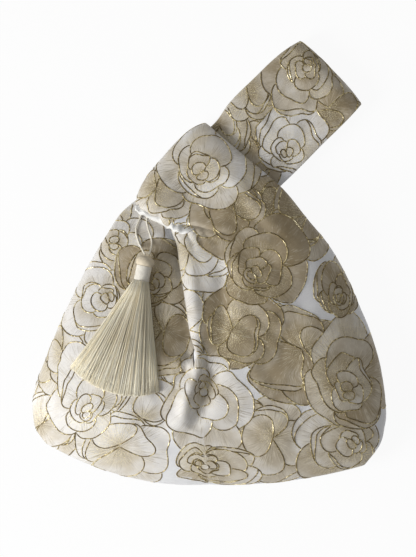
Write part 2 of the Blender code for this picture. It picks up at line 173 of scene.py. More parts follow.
def ramp(tree, factor, *stops):
    """Colour ramp with (position, colour) stops."""
    made = tree.nodes.new("ShaderNodeValToRGB")
    ends = made.color_ramp.elements
    for end, (position, colour) in zip(ends, stops[:2]):
        end.position, end.color = position, (*colour, 1)
    for position, colour in stops[2:]:
        ends.new(position).color = (*colour, 1)
    tree.links.new(factor, made.inputs[0])
    return made.outputs[0]


def between(tree, value, low, high, to_low=0.0, to_high=1.0):
    """A value carried smoothly from one range to another."""
    return wire(tree, "ShaderNodeMapRange", (0, value), (1, low), (2, high), (3, to_low), (4, to_high),
                interpolation_type="SMOOTHSTEP")


def sums(tree, operation, first, second):
    """One sum of two values."""
    return wire(tree, "ShaderNodeMath", (0, first), (1, second), operation=operation)


def stretched(tree, place, x, y, z):
    """A place with each of its parts multiplied."""
    return wire(tree, "ShaderNodeVectorMath", (0, place), (1, (x, y, z)), operation="MULTIPLY")


def blend_colour(tree, factor, first, second):
    """The first colour where the factor is 0, the second where it is 1."""
    return wire(tree, "ShaderNodeMix", (0, factor), (6, first), (7, second), data_type="RGBA", out=2)


cord_silk, shader = paint("Cord silk", (0.84, 0.80, 0.70), 0.45)
tree = cord_silk.node_tree
run = wire(tree, "ShaderNodeAttribute", attribute_name="run", out=1)
strand = wire(tree, "ShaderNodeTexNoise", (0, stretched(tree, run, 900, 6, 1)), ("Scale", 1.0),
              ("Detail", 2.0))
tree.links.new(ramp(tree, strand, (0.3, (0.76, 0.70, 0.56)), (0.7, (0.92, 0.88, 0.79))),
               shader.inputs["Base Color"])
tree.links.new(between(tree, strand, 0.2, 0.8, 0.36, 0.55), shader.inputs["Roughness"])
tree.links.new(wire(tree, "ShaderNodeBump", ("Strength", 0.6), ("Distance", 0.0001), ("Height", strand)),
               shader.inputs["Normal"])
cord = tube("Cord", [smooth_line(CORD_ROUTE, 0.0004)], CORD_SIDES, two_ply)
cord.data.materials.append(cord_silk)
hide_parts("hanging_cord")
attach(cord, "root")


# Cloth panels, front and back: silver rose brocade cut with one long and one short strap, sewn to each
# other along the sides, the bottom and the straps' ends. The long strap is pulled through the short one.
BODY_WIDTH, BODY_HEIGHT, NECK_DEPTH = 0.240, 0.200, 0.1215
LONG_STRAP_WIDTH, LONG_STRAP_REACH, LONG_STRAP_ANGLE = 0.065, 0.115, 44.0
SHORT_STRAP_WIDTH, SHORT_STRAP_REACH, SHORT_STRAP_ANGLE = 0.073, 0.030, 139.0
CLOTH, BACK_CLOTH, PLY_GAP = 0.0010, 0.0007, 0.0003
FRONT_CELL, BACK_CELL = 0.00115, 0.0015
ORIGIN = np.array([0.0000158, -0.1514140])
SEAM, LYING, LIFTED, STRAP_TOP, OVER_STRAP = 0.010, 0.00115, 0.00395, 0.01195, 0.01515
CROWN, LIP_HEIGHT, LOOP_SEAM, END_SEAM = 0.03785, 0.0174, 0.00815, 0.00655
HALF_WIDTH = BODY_WIDTH / 2 - 0.00115
CROSSING = np.array([-0.001, BODY_HEIGHT])
LOOP_EDGE = SHORT_STRAP_WIDTH / 2 + 0.006
NECK_FOOT = np.array([-0.0095, BODY_HEIGHT - NECK_DEPTH])


def body(across, up):
    """A place on the body: shares of half its width and of its height."""
    return np.array([across * HALF_WIDTH, up * BODY_HEIGHT])


def neckline(across, down):
    """A place on the neckline: shares of half the body's width and of the neck's depth."""
    return np.array([across * HALF_WIDTH, BODY_HEIGHT - down * NECK_DEPTH])


def middle(share):
    """A place between the bottom seam and the foot of the neckline."""
    return NECK_FOOT * share


def beside(angle, reach, side):
    """A place that far along a strap from the crossing, and that far to its left."""
    turn = math.radians(angle)
    ahead = np.array([math.cos(turn), math.sin(turn)])
    return CROSSING + reach * ahead + side * np.array([-ahead[1], ahead[0]])


def long_strap(reach, side):
    return beside(LONG_STRAP_ANGLE, reach, side * LONG_STRAP_WIDTH / 2)


def short_strap(reach, side):
    return beside(SHORT_STRAP_ANGLE, reach, 0.004 + side * SHORT_STRAP_WIDTH / 2)


# Stations up each half of a panel: its outer and inner edge seen from above, the front's heights at the
# outer edge, the crest and the inner edge, and the back's.
FOOT = 5
FRONT_BODY, BACK_BODY, ON_TABLE = (SEAM, CROWN, CROWN), (SEAM, LYING, LYING), (LYING, LYING, LYING)
FRONT_STRAP, LOWERED_STRAP = (0.0092, STRAP_TOP, STRAP_TOP), (0.0092, STRAP_TOP, STRAP_TOP - 0.001)
BACK_STRAP, STRAP_END = (0.0068, LIFTED, LIFTED), (0.0110, STRAP_TOP, 0.0110)
LEFT_HALF = [
    (body(-0.930, 0.138), middle(0), FRONT_BODY, BACK_BODY),
    (body(-0.984, 0.184), middle(0.12), FRONT_BODY, BACK_BODY),
    (body(-1.000, 0.235), middle(0.27), FRONT_BODY, BACK_BODY),
    (body(-0.997, 0.300), middle(0.55), FRONT_BODY, BACK_BODY),
    (body(-0.963, 0.370), middle(0.80), FRONT_BODY, BACK_BODY),
    (body(-0.918, 0.435), middle(1), FRONT_BODY, BACK_BODY),
    (body(-0.854, 0.530), neckline(-0.090, 0.925), (SEAM, 0.034, 0.031), (SEAM, 0.0030, LIFTED)),
    (body(-0.775, 0.632), neckline(-0.066, 0.807), (SEAM, 0.029, 0.025), (SEAM, LIFTED, LIFTED)),
    (body(-0.686, 0.735), neckline(-0.040, 0.634), (SEAM, 0.0245, 0.020), (SEAM, LIFTED, LIFTED)),
    (body(-0.578, 0.842), neckline(0.004, 0.453), (0.0125, 0.0185, 0.0160), (0.0070, LIFTED, LIFTED)),
    (body(-0.484, 0.924), neckline(0.060, 0.321), (0.0105, 0.0135, 0.0130), (0.0068, LIFTED, LIFTED)),
    (long_strap(-0.0385, 0.85), long_strap(-0.0150, -1.0), FRONT_STRAP, BACK_STRAP),
    (long_strap(-0.0180, 0.98), long_strap(0.0050, -1.0), FRONT_STRAP, BACK_STRAP),
    (long_strap(0.0100, 0.93), long_strap(0.0200, -1.0), LOWERED_STRAP, BACK_STRAP),
    (long_strap(LOOP_EDGE - 0.006, 0.87), long_strap(LOOP_EDGE - 0.006, -1.0),
     (0.0094, STRAP_TOP, STRAP_TOP - 0.001), (0.0066, LIFTED, LIFTED)),
    (long_strap(LOOP_EDGE + 0.007, 0.95), long_strap(LOOP_EDGE + 0.007, -1.0),
     (0.0100, STRAP_TOP, STRAP_TOP - 0.001), (LIFTED, LIFTED, LIFTED)),
    (long_strap(0.65 * LONG_STRAP_REACH, 0.98), long_strap(0.65 * LONG_STRAP_REACH, -0.98),
     STRAP_END, ON_TABLE),
    (long_strap(LONG_STRAP_REACH - 0.011, 0.95), long_strap(LONG_STRAP_REACH - 0.011, -0.97),
     STRAP_END, ON_TABLE),
    (long_strap(LONG_STRAP_REACH, 0.88), long_strap(LONG_STRAP_REACH, -0.95), STRAP_END, ON_TABLE),
]
RIGHT_HALF = [
    (body(0.886, 0.064), middle(0), FRONT_BODY, BACK_BODY),
    (body(0.968, 0.128), middle(0.12), FRONT_BODY, BACK_BODY),
    (body(0.999, 0.195), middle(0.27), FRONT_BODY, BACK_BODY),
    (body(1.003, 0.275), middle(0.55), FRONT_BODY, BACK_BODY),
    (body(0.985, 0.360), middle(0.80), FRONT_BODY, BACK_BODY),
    (body(0.960, 0.430), middle(1), FRONT_BODY, BACK_BODY),
    (body(0.915, 0.515), neckline(-0.071, 0.925), (SEAM, 0.0375, 0.036), BACK_BODY),
    (body(0.855, 0.600), neckline(-0.100, 0.807), (SEAM, 0.0375, 0.034), BACK_BODY),
    (body(0.764, 0.722), neckline(-0.130, 0.609), (SEAM, 0.0365, 0.030), BACK_BODY),
    (body(0.664, 0.818), neckline(-0.160, 0.428), (0.0140, 0.034, 0.026), (0.0050, LYING, LYING)),
    (body(0.556, 0.895), neckline(-0.178, 0.305), (0.0150, 0.030, 0.0225), (0.0020, LYING, LYING)),
    (short_strap(-0.0400, -1.0), neckline(-0.214, 0.242), (0.0155, 0.0250, 0.0195), ON_TABLE),
    (short_strap(-0.0050, -1.0), short_strap(0.0090, 0.95), (OVER_STRAP, 0.0215, LIP_HEIGHT), ON_TABLE),
    (short_strap(SHORT_STRAP_REACH - 0.011, -0.99), short_strap(SHORT_STRAP_REACH - 0.009, 0.97),
     (OVER_STRAP, 0.0200, LIP_HEIGHT), ON_TABLE),
    (short_strap(SHORT_STRAP_REACH, -1.0), short_strap(SHORT_STRAP_REACH, 0.95),
     (OVER_STRAP, 0.0190, LIP_HEIGHT), ON_TABLE),
]


def rising(share):
    """Quarter of an ellipse: upright at 0, level from 1 on."""
    return np.sqrt(np.clip(1 - (1 - np.clip(share, 0, 1)) ** 2, 0, 1))


def through(knots, values, at, limited):
    """Smooth curve through the values. A limited one never swings past its neighbours."""
    values = np.asarray(values, float)
    steps = np.diff(knots)
    slopes = (np.diff(values, axis=0).T / steps).T
    tangents = np.zeros_like(values)
    weights = (steps[1:] / (steps[1:] + steps[:-1])).reshape([-1] + [1] * (values.ndim - 1))
    tangents[1:-1] = slopes[:-1] * weights + slopes[1:] * (1 - weights)
    tangents[0], tangents[-1] = slopes[0], slopes[-1]
    if limited:
        tangents[1:-1][slopes[:-1] * slopes[1:] <= 0] = 0
        largest = 3 * np.minimum(abs(slopes[:-1]), abs(slopes[1:]))
        tangents[1:-1] = np.clip(tangents[1:-1], -largest, largest)
    index = np.clip(np.searchsorted(knots, at, side="right") - 1, 0, len(steps) - 1)
    shape = [-1] + [1] * (values.ndim - 1)
    t, step = ((at - knots[index]) / steps[index]).reshape(shape), steps[index].reshape(shape)
    return (
        values[index] * (2 * t**3 - 3 * t**2 + 1)
        + tangents[index] * step * (t**3 - 2 * t**2 + t)
        + values[index + 1] * (3 * t**2 - 2 * t**3)
        + tangents[index + 1] * step * (t**3 - t**2)
    )


def near_line(spots, line):
    """How far each spot is from a line of points, and how far along the line, from 0 to 1."""
    line = np.asarray(line, float) / 1000
    run = np.append(0, np.cumsum(np.linalg.norm(np.diff(line, axis=0), axis=1)))
    nearest = np.full(spots.shape[:2], 9.0)
    along = np.zeros(spots.shape[:2])
    for k in range(len(line) - 1):
        leg = line[k + 1] - line[k]
        share = np.clip(((spots - line[k]) @ leg) / (leg @ leg), 0, 1)
        away = np.linalg.norm(spots - line[k] - share[:, :, None] * leg, axis=2)
        closer = away < nearest
        nearest[closer] = away[closer]
        along[closer] = ((run[k] + share * (run[k + 1] - run[k])) / run[-1])[closer]
    return nearest, along


# The brocade of the short strap's lip stands back from its lining, which shows below it. The line is in mm.
LIP_LINE, LIP_BACK = [(-47, 34), (-42, 30), (-36, 26), (-29, 21), (-23, 15)], 0.0038
LIP_REACH, LIP_WAY = 0.016, np.array([0.42, 0.91])

# Soft folds in the front, in mm: (line, height, half width at its start, half width at its end, how it
# fades: 0 at both ends, 1 only at its far end)
FOLDS = [
    ([(-11, -52), (-8, -64), (-7, -73), (-11, -83), (-16, -94), (-17, -106), (-28, -118)], 5.4, 3.8, 5.5, 0),
    ([(3, -72), (0, -84), (-5, -99), (-13, -113)], -4.8, 6.0, 6.0, 0),
    ([(-15, -76), (-24, -84), (-40, -90)], -4.0, 4.0, 7.0, 1),
    ([(-18, 23.5), (-8, 22.8), (5.5, 19.2), (18.4, 16.7)], -2.0, 1.5, 2.4, 1),
    ([(-15, 14), (-12, -12), (-9, -44), (-8, -66)], 2.0, 5.0, 4.0, 0),
    ([(4, 10), (9, -14), (10, -44), (6, -66)], -2.4, 7.0, 7.0, 0),
    ([(-4, -76), (-2, -98), (-8, -118)], -1.5, 6.0, 8.0, 1),
    ([(-12, 5), (-11, -20), (-9, -45), (-6, -70)], 1.0, 6.0, 5.0, 0),
    ([(8, 0), (10, -30), (6, -62)], -1.2, 9.0, 8.0, 0),
    ([(20, 8), (52, -6), (78, -34)], -0.9, 9.0, 12.0, 0),
    ([(60, -90), (30, -112), (-4, -126)], -0.9, 9.0, 11.0, 0),
    ([(-70, -110), (-52, -118), (-30, -136)], 1.2, 6.0, 7.0, 0),
    ([(-84, -78), (-62, -92), (-40, -98)], -1.1, 8.0, 8.0, 0),
    ([(-66, -20), (-48, -38), (-40, -62)], 0.9, 6.0, 7.0, 0),
    ([(36, 62), (24, 74), (16, 92)], -0.5, 3.0, 5.0, 1),
    ([(52, 96), (66, 110), (76, 118)], 0.45, 4.0, 5.0, 0),
    ([(30, 98), (44, 104), (58, 124)], -0.5, 4.0, 5.0, 0),
    ([(-50, 40), (-30, 52), (-8, 70)], -0.7, 5.0, 6.0, 0),
    ([(-20, 22), (4, 34), (30, 44)], 0.8, 5.0, 7.0, 0),
    ([(-14, 17), (-11, 11), (-10, 1)], -1.6, 1.8, 3.2, 1),
    ([(-9, 19), (-4, 12), (-3, 2)], -1.2, 1.8, 3.2, 1),
    ([(-3, 18), (5, 11), (9, 2)], -0.9, 2.0, 3.6, 1),
    ([(12, 58), (34, 36), (66, 12)], 0.9, 5.0, 8.0, 0),
    ([(-44, 36), (-30, 42), (-12, 44)], 0.7, 4.0, 5.0, 0),
]


def folds(spots):
    """Height of the cloth's soft folds and of its slight unevenness."""
    rise = np.zeros(spots.shape[:2])
    for line, height, first, last, fading in FOLDS:
        away, along = near_line(spots, line)
        width = (first + (last - first) * along) / 1000
        strength = np.sin(np.pi * along) ** 0.6 if fading == 0 else (1 - along) ** 0.8
        rise += height / 1000 * strength * np.exp(-((away / width) ** 2))
    chance = np.random.default_rng(11)
    for length in (0.075, 0.060, 0.048, 0.038, 0.031, 0.026, 0.021, 0.017, 0.014, 0.012):
        turn = chance.uniform(0, math.pi)
        warped = spots + 0.006 * np.sin(spots[:, :, ::-1] / 0.012 + chance.uniform(0, 6))
        wave = (warped @ np.array([math.cos(turn), math.sin(turn)])) * 2 * math.pi / length
        rise += 0.0085 * length * np.sin(wave + chance.uniform(0, 6))
    return rise


HALF_SPAN = 0.098
LEFT_SAG, RIGHT_SAG = 0.0088, 0.0042
END_LENGTH = 0.027
FRONT_SIDE, BACK_SIDE = 0.70, 0.026
BOTTOM_RISE, BACK_BOTTOM_RISE = 0.060, 0.026
END_RISE, BACK_END_RISE = 0.009, 0.006


def half_panel(stations, front, cell, end_bow, end_seam, inner_fall):
    """Points of one half of a panel, row by row from the bottom seam to the strap's end. The cloth bellies
    up from its seams and, at the neckline, comes down to the inner edge."""
    outer = np.array([station[0] for station in stations])
    inner = np.array([station[1] for station in stations])
    heights = np.array([station[2 if front else 3] for station in stations])
    centre = (outer + inner) / 2
    centre[:FOOT] = inner[:FOOT] + centre[FOOT] - inner[FOOT]
    knots = np.append(0, np.cumsum(np.linalg.norm(np.diff(centre, axis=0), axis=1)))
    body_rows = round(knots[FOOT] / cell)
    rows = np.append(np.linspace(0, knots[FOOT], body_rows, endpoint=False),
                     np.linspace(knots[FOOT], knots[-1], round((knots[-1] - knots[FOOT]) / cell)))
    rows[1:6] *= np.array([0.25, 0.4, 0.6, 0.75, 0.9])
    rows[-6:-1] += (knots[-1] - rows[-6:-1]) * np.array([0.1, 0.2, 0.3, 0.45, 0.7])
    across = np.linspace(0, 1, round(HALF_SPAN / cell))
    across = np.sort(np.append(across, [0.002, 0.005, 0.9965]))
    outer = through(knots, outer, rows, False)
    inner = through(knots, inner, rows, False)
    shared = rows <= knots[FOOT] + 1e-9
    inner[shared] = middle(1) * rows[shared, None] / knots[FOOT]
    heights = through(knots, heights, rows, True)
    points = outer[:, None] * (1 - across[:, None]) + inner[:, None] * across[:, None]
    near_bottom = (1 - np.clip(rows / (0.5 * NECK_FOOT[1]), 0, 1)) ** 2
    sag = LEFT_SAG if stations is LEFT_HALF else RIGHT_SAG
    points[:, :, 1] -= sag * near_bottom[:, None] * 4 * across * (1 - across)
    width = outer[-1] - inner[-1]
    ahead = np.array([width[1], -width[0]]) / np.linalg.norm(width)
    if ahead @ (outer[-1] - outer[-20]) < 0:
        ahead = -ahead
    near_end = np.clip(1 - (rows[-1] - rows) / END_LENGTH, 0, 1)
    points += (end_bow * near_end[:, None] * (1 - abs(2 * across - 1) ** 3.5))[:, :, None] * ahead
    side = FRONT_SIDE if front else BACK_SIDE / np.linalg.norm(outer - inner, axis=1)[:, None]
    held = heights[:, 0:1] - SEAM if front else SEAM - heights[:, 0:1]
    side = side * (1 - (0.6 * np.clip(held / 0.006, 0, 1) if front else 0.5 * np.clip(held / 0.002, 0, 1)))
    rise = rising(across / side)
    fall = 1 - rising((1 - across) / inner_fall)
    level = heights[:, 0:1] * (1 - rise) + heights[:, 1:2] * (rise - fall) + heights[:, 2:3] * fall
    from_bottom = np.append(0, np.cumsum(np.linalg.norm(np.diff(inner, axis=0), axis=1)))
    bottom = rising(from_bottom / (BOTTOM_RISE if front else BACK_BOTTOM_RISE))[:, None]
    end = rising((rows[-1] - rows) / (END_RISE if front else BACK_END_RISE))[:, None]
    level = SEAM + (level - SEAM) * bottom
    level = end_seam + (level - end_seam) * end
    sewn = (1 - rise * bottom) * (held < 0.0001) + (1 - end)
    level += (0.0001 if front else -0.0001) * np.clip(sewn, 0, 1)
    points = np.dstack([points + ORIGIN, level])
    if front and stations is RIGHT_HALF:
        away, along = near_line(points[:, :, :2], LIP_LINE)
        back = LIP_BACK * np.sin(np.pi * np.clip(along, 0, 1)) * (0.9 + 0.3 * np.sin(along * 17))
        points[:, :, :2] += (back * np.clip(1 - away / LIP_REACH, 0, 1) ** 1.5)[:, :, None] * LIP_WAY
    if front:
        points[:, :, 2] += folds(points[:, :, :2]) * (rise * bottom * end) ** 2
    return points


def halves(front, cell):
    """The left and the right half of a panel."""
    return (
        half_panel(LEFT_HALF, front, cell, 0.002, END_SEAM, 0.5),
        half_panel(RIGHT_HALF, front, cell, 0.0065, LOOP_SEAM, 0.2),
    )


def sheet(name, grids, front):
    """The halves of a panel as one mesh, joined down the middle below the neckline."""
    corners = np.concatenate([grid.reshape(-1, 3) for grid in grids])
    faces, first = [], 0
    for grid in grids:
        rows, columns = grid.shape[:2]
        i, j = np.meshgrid(np.arange(rows - 1), np.arange(columns - 1), indexing="ij")
        a = first + i * columns + j
        quads = np.stack([a, a + 1, a + columns + 1, a + columns], axis=-1).reshape(-1, 4)
        first += rows * columns
        p = corners[quads]
        normal = np.cross(p[:, 2] - p[:, 0], p[:, 3] - p[:, 1])[:, 2].sum()
        faces.append(quads if (normal > 0) == front else quads[:, ::-1])
    mesh = bpy.data.meshes.new(name)
    mesh.from_pydata(corners.tolist(), [], np.concatenate(faces).tolist())
    thing = bpy.data.objects.new(name, mesh)
    bpy.context.scene.collection.objects.link(thing)
    bpy.context.view_layer.objects.active = thing
    thing.select_set(True)
    bpy.ops.object.mode_set(mode="EDIT")
    bpy.ops.mesh.select_all(action="SELECT")
    bpy.ops.mesh.remove_doubles(threshold=0.00001)
    bpy.ops.object.mode_set(mode="OBJECT")
    mesh.shade_smooth()
    thing.select_set(False)
    return thing


def thicken(thing, thickness, outward):
    """Gives a sheet its thickness, half of the ply gap away from the sheet's own surface."""
    apart = thing.modifiers.new("Ply gap", "DISPLACE")
    apart.mid_level = 0
    apart.direction = "NORMAL"
    apart.strength = PLY_GAP / 2 if outward else -PLY_GAP / 2
    thick = thing.modifiers.new("Thickness", "SOLIDIFY")
    thick.thickness = thickness
    thick.offset = 1 if outward else -1
    bpy.context.view_layer.objects.active = thing
    bpy.ops.object.modifier_apply(modifier="Ply gap")
    bpy.ops.object.modifier_apply(modifier="Thickness")


def flat_cut(grid):
    """Where each point of a half lies on the uncut cloth: its place seen from above, spread by the
    length that the slopes take up."""
    def extra(axis):
        step = np.diff(grid, axis=axis)
        long = np.linalg.norm(step, axis=2) - np.linalg.norm(step[:, :, :2], axis=2)
        shape = list(long.shape)
        shape[axis] = 1
        way = np.gradient(grid[:, :, :2], axis=axis)
        return (np.concatenate([np.zeros(shape), np.cumsum(long, axis=axis)], axis=axis)[:, :, None],
                way / (np.linalg.norm(way, axis=2)[:, :, None] + 1e-9))

    foot = np.argmin(np.linalg.norm(grid[:, -1, :2] - ORIGIN - NECK_FOOT, axis=1))
    across, way_across = extra(1)
    along, way_along = extra(0)
    apart = np.clip((np.arange(len(grid)) - foot) / 22, 0, 1)[:, None, None]
    held = across[:, -1:] * (1 - apart) + across[:, int(grid.shape[1] * 0.75)][:, None] * apart
    return grid[:, :, :2] + (across - held) * way_across + (along - along[foot]) * way_along


def petal(centre, facing, spread, reach, lean, squeeze, chance):
    """Outline of one petal, a wavy fan about the bud."""
    t = np.linspace(-1, 1, 46)
    angle = facing + spread * (1.12 * t - 0.12 * t**3 + chance.uniform(-0.28, 0.28) * (1 - t**2))
    waves = sum(chance.normal(0, 0.042) * np.sin(chance.uniform(0, 6.3) + k * 2.4 * t) for k in (1, 2, 3))
    tip = chance.choice([-0.09, 0.06, 0.13]) * chance.uniform(0.4, 1)
    notch = tip * np.exp(-(abs(t - chance.uniform(-0.4, 0.4)) / 0.20) ** 1.3)
    length = reach * (0.22 + 0.78 * (1 - abs(t) ** 3) ** 0.5 * (1 + waves + notch))
    length *= 1 + 0.16 * np.cos(angle - lean)
    shape = np.column_stack([np.cos(angle), np.sin(angle)]) * length[:, None]
    shape = np.concatenate([[(0, 0)], shape, [(0, 0)]])
    along = np.array([np.cos(squeeze[0]), np.sin(squeeze[0])])
    return centre + shape - np.outer(shape @ along, along) * (1 - squeeze[1])


# Rings of petals: how many, how far they reach, and how wide each spreads; and how many of each ring's
# petals have a folded rim
FULL_ROSE = ((4, 1.0, 1.00), (3, 0.76, 1.15), (3, 0.50, 1.22), (3, 0.30, 1.22), (2, 0.16, 1.50))
LOOSE_PETALS = ((5, 1.0, 0.95), (3, 0.74, 1.15), (1, 0.60, 1.45))
FOLDED_RIMS = (0.3, 0.4, 0.45, 0.2, 0)


def rose(x, y, radius, lean, squeeze, tone, halves_used, rings, seed):
    """Petals of one open rose, the outermost first. A folded-back rim is a crescent on its petal."""
    chance = np.random.default_rng(seed)
    lean = math.radians(lean)
    spin = chance.uniform(0, 2 * math.pi)
    petals = []
    for ring, (count, reach, spread) in enumerate(rings):
        centre = np.array([x, y]) - np.array([math.cos(lean), math.sin(lean)]) * radius * 0.055 * ring
        for k in chance.permutation(count) if ring < 2 else range(count):
            facing = spin + 2 * math.pi * k / count + chance.normal(0, 0.10)
            size = radius * reach * chance.uniform(0.90, 1.08)
            shape = petal(centre, facing, spread, size, lean, squeeze, chance)
            shade = tone + chance.uniform(-0.14, 0.14)
            petals.append((shape, centre, facing, size, shade, halves_used, False))
            if chance.random() < FOLDED_RIMS[ring]:
                start = 6 if chance.random() < 0.5 else 16
                edge = shape[start : start + 24]
                depth = 0.14 * np.sin(np.linspace(0, np.pi, 24))[:, None]
                rim = np.concatenate([edge, (edge + (centre - edge) * depth)[::-1]])
                petals.append((rim, centre, facing, size, shade - 0.15, halves_used, True))
        spin += math.pi / count * chance.uniform(0.7, 1.3)
    return petals


# The roses of the front, as far as they show, and of the back: place of the bud and radius in mm, the
# way it leans, its squeeze, how dark it is, the halves that it is woven on and its rings. On the front, how
# dark a rose is holds painted shade and light as well as its own tone: darker on the right and in the hollow
# right of the roll, paler on the left and on the roll's ridge.
FRONT_ROSES = [
    (-24, -30, 34, 90, (0, 1), 0.06, "R", LOOSE_PETALS), (-46, 22, 27, 160, (0, 1), 0.40, "R", LOOSE_PETALS),
    (-12, 8, 27, 0, (0, 1), 0.04, "R", LOOSE_PETALS), (-36, 52, 26, 30, (0, 1), 0.30, "R", LOOSE_PETALS),
    (48, 34, 30, 330, (0, 1), 0.60, "R", LOOSE_PETALS), (28, 66, 22, 330, (0, 1), 0.50, "L", LOOSE_PETALS),
    (34, 84, 22, 330, (0, 1), 0.36, "L", LOOSE_PETALS), (-20, -72, 26, 330, (0, 1), 0.14, "LR", LOOSE_PETALS),
    (-10, 100, 24, 330, (0, 1), 0.36, "R", LOOSE_PETALS), (92, 126, 22, 330, (0, 1), 0.46, "L", LOOSE_PETALS),
    (9, 92, 21, 330, (0, 1), 0.44, "L", LOOSE_PETALS), (-48, -104, 25, 120, (0, 1), 0.02, "LR", LOOSE_PETALS),
    (-112, -110, 34, 20, (0, 1), 0.15, "LR", LOOSE_PETALS),
    (-60, -129, 32, 280, (0, 1), 0.10, "LR", LOOSE_PETALS),
    (42, -122, 34, 250, (0, 1), 0.36, "LR", LOOSE_PETALS),
    (62, -61, 35, 200, (0, 1), 0.50, "R", LOOSE_PETALS), (18, -47, 30, 20, (0, 1), 0.64, "R", LOOSE_PETALS),
    (-33, -47, 33, 200, (0, 1), 0.48, "L", LOOSE_PETALS),
    (-104, -64, 28, 200, (0, 1), 0.18, "L", LOOSE_PETALS), (69, 31, 30, 200, (0, 1), 0.56, "R", LOOSE_PETALS),
    (14, 33, 27, 200, (0, 1), 0.66, "R", LOOSE_PETALS), (92, -126, 31, 200, (0.3, 1), 0.36, "LR", FULL_ROSE),
    (-59, 14, 29, 20, (0, 1), 0.18, "L", FULL_ROSE), (-74, -27, 29, 200, (0, 1), 0.10, "L", FULL_ROSE),
    (-37, -10, 25, 90, (0, 1), 0.55, "L", FULL_ROSE), (99, -81, 40, 60, (0, 0.85), 0.42, "R", FULL_ROSE),
    (91, -21, 23, 90, (0, 0.8), 0.52, "R", FULL_ROSE), (35, -4, 31, 45, (0, 1), 0.66, "R", FULL_ROSE),
    (-3, -95, 34, 270, (0, 1), 0.18, "LR", FULL_ROSE), (-85, -95, 33, 100, (0, 0.75), 0.00, "LR", FULL_ROSE),
    (2, -143, 30, 0, (1.57, 0.6), 0.30, "LR", FULL_ROSE), (-3, 68, 38, 60, (0, 1), 0.25, "R", FULL_ROSE),
    (28, 116, 23, 60, (0, 1), 0.35, "L", LOOSE_PETALS), (86, 109, 27, 60, (0, 1), 0.50, "L", LOOSE_PETALS),
    (59, 82, 26, 60, (0, 1), 0.12, "L", FULL_ROSE), (66, 130, 25, 240, (0, 1), 0.42, "L", FULL_ROSE),
]


def inside(spots, shape):
    """Which spots lie inside a closed outline."""
    within = np.zeros(len(spots), bool)
    near = np.flatnonzero(((spots > shape.min(axis=0)) & (spots < shape.max(axis=0))).all(axis=1))
    x, y = spots[near, 0:1], spots[near, 1:2]
    (ax, ay), (bx, by) = shape.T, np.roll(shape, -1, axis=0).T
    crossed = ((ay > y) != (by > y)) & (x < (bx - ax) * (y - ay) / (by - ay + 1e-15) + ax)
    within[near] = crossed.sum(axis=1) % 2 == 1
    return within


def weave(flats, roses):
    """All petals in their order, and for each point of the cloth the petal's shade and the place in it."""
    petals = []
    for number, (x, y, radius, *rest) in enumerate(roses):
        petals += rose(x / 1000, y / 1000, radius / 1000, *rest, 40 + number)
    spots = np.concatenate([flat.reshape(-1, 2) for flat in flats])
    half = np.concatenate([np.full(flat.shape[0] * flat.shape[1], k) for k, flat in enumerate(flats)])
    shade = np.zeros((len(spots), 4))
    shade[:, 0] = -1
    fan = np.zeros((len(spots), 3))
    for number, (shape, centre, facing, size, tone, halves_used, rim) in enumerate(petals):
        usable = np.isin(half, ["LR".index(letter) for letter in halves_used])
        found = np.flatnonzero(usable)[inside(spots[usable], shape)]
        away = spots[found] - centre
        far = np.linalg.norm(away, axis=1)
        angle = (np.arctan2(away[:, 1], away[:, 0]) - facing + np.pi) % (2 * np.pi) - np.pi
        fan[found] = np.column_stack([angle * 24, far * 130, np.full(len(found), number * 3.7)])
        out = far / size
        shade[found, 0] = np.clip(tone + (0 if rim else 0.42 * np.clip(1 - out, 0, 1) ** 1.5 - 0.10), 0, 1)
        shade[found, 1] = 0.3 if rim else np.clip(1.15 - 0.9 * out, 0.15, 1)
        shade[found, 2] = np.random.default_rng(number).uniform(0, 1)
    shade[:, 3] = (shade[:, 0] >= 0).astype(float)
    shade[:, 0] = np.clip(shade[:, 0], 0, 1)
    return petals, shade, fan


def normals_of(grid, front):
    """Unit normals of a half's surface, outwards from the bag."""
    normal = np.cross(np.gradient(grid, axis=1), np.gradient(grid, axis=0))
    if (normal[:, :, 2].sum() > 0) != front:
        normal = -normal
    return normal / (np.linalg.norm(normal, axis=2)[:, :, None] + 1e-12)


def laid_on(flat, grid, front):
    """A function that finds where spots of the flat cloth lie on the laid cloth, and which way is up."""
    rows, columns = grid.shape[:2]
    places = [Vector(p) for p in grid.reshape(-1, 3)]
    ways = [Vector(p) for p in normals_of(grid, front).reshape(-1, 3)]
    flats = [Vector((p[0], p[1], 0)) for p in flat.reshape(-1, 2)]
    i, j = np.meshgrid(np.arange(rows - 1), np.arange(columns - 1), indexing="ij")
    a = (i * columns + j).ravel()
    faces = np.concatenate([np.column_stack([a, a + 1, a + columns + 1]),
                            np.column_stack([a, a + columns + 1, a + columns])]).tolist()
    search = BVHTree.FromPolygons(flats, faces)

    def find(spot):
        hit, _, face, _ = search.ray_cast(Vector((spot[0], spot[1], 1)), Vector((0, 0, -1)))
        if hit is None:
            return None
        a, b, c = faces[face]
        corners = (flats[a], flats[b], flats[c])
        place = barycentric_transform(hit, *corners, places[a], places[b], places[c])
        way = barycentric_transform(hit, *corners, ways[a], ways[b], ways[c]).normalized()
        return place, way

    return find


THREAD_WIDTH, THREAD_HEIGHT, STITCH = 0.00090, 0.00060, 0.0017
BACK_THREAD_HEIGHT = 0.8 * THREAD_HEIGHT
THREAD_SPACING, LONGEST_STEP, THREAD_SIDES = 0.0006, 0.0018, 5


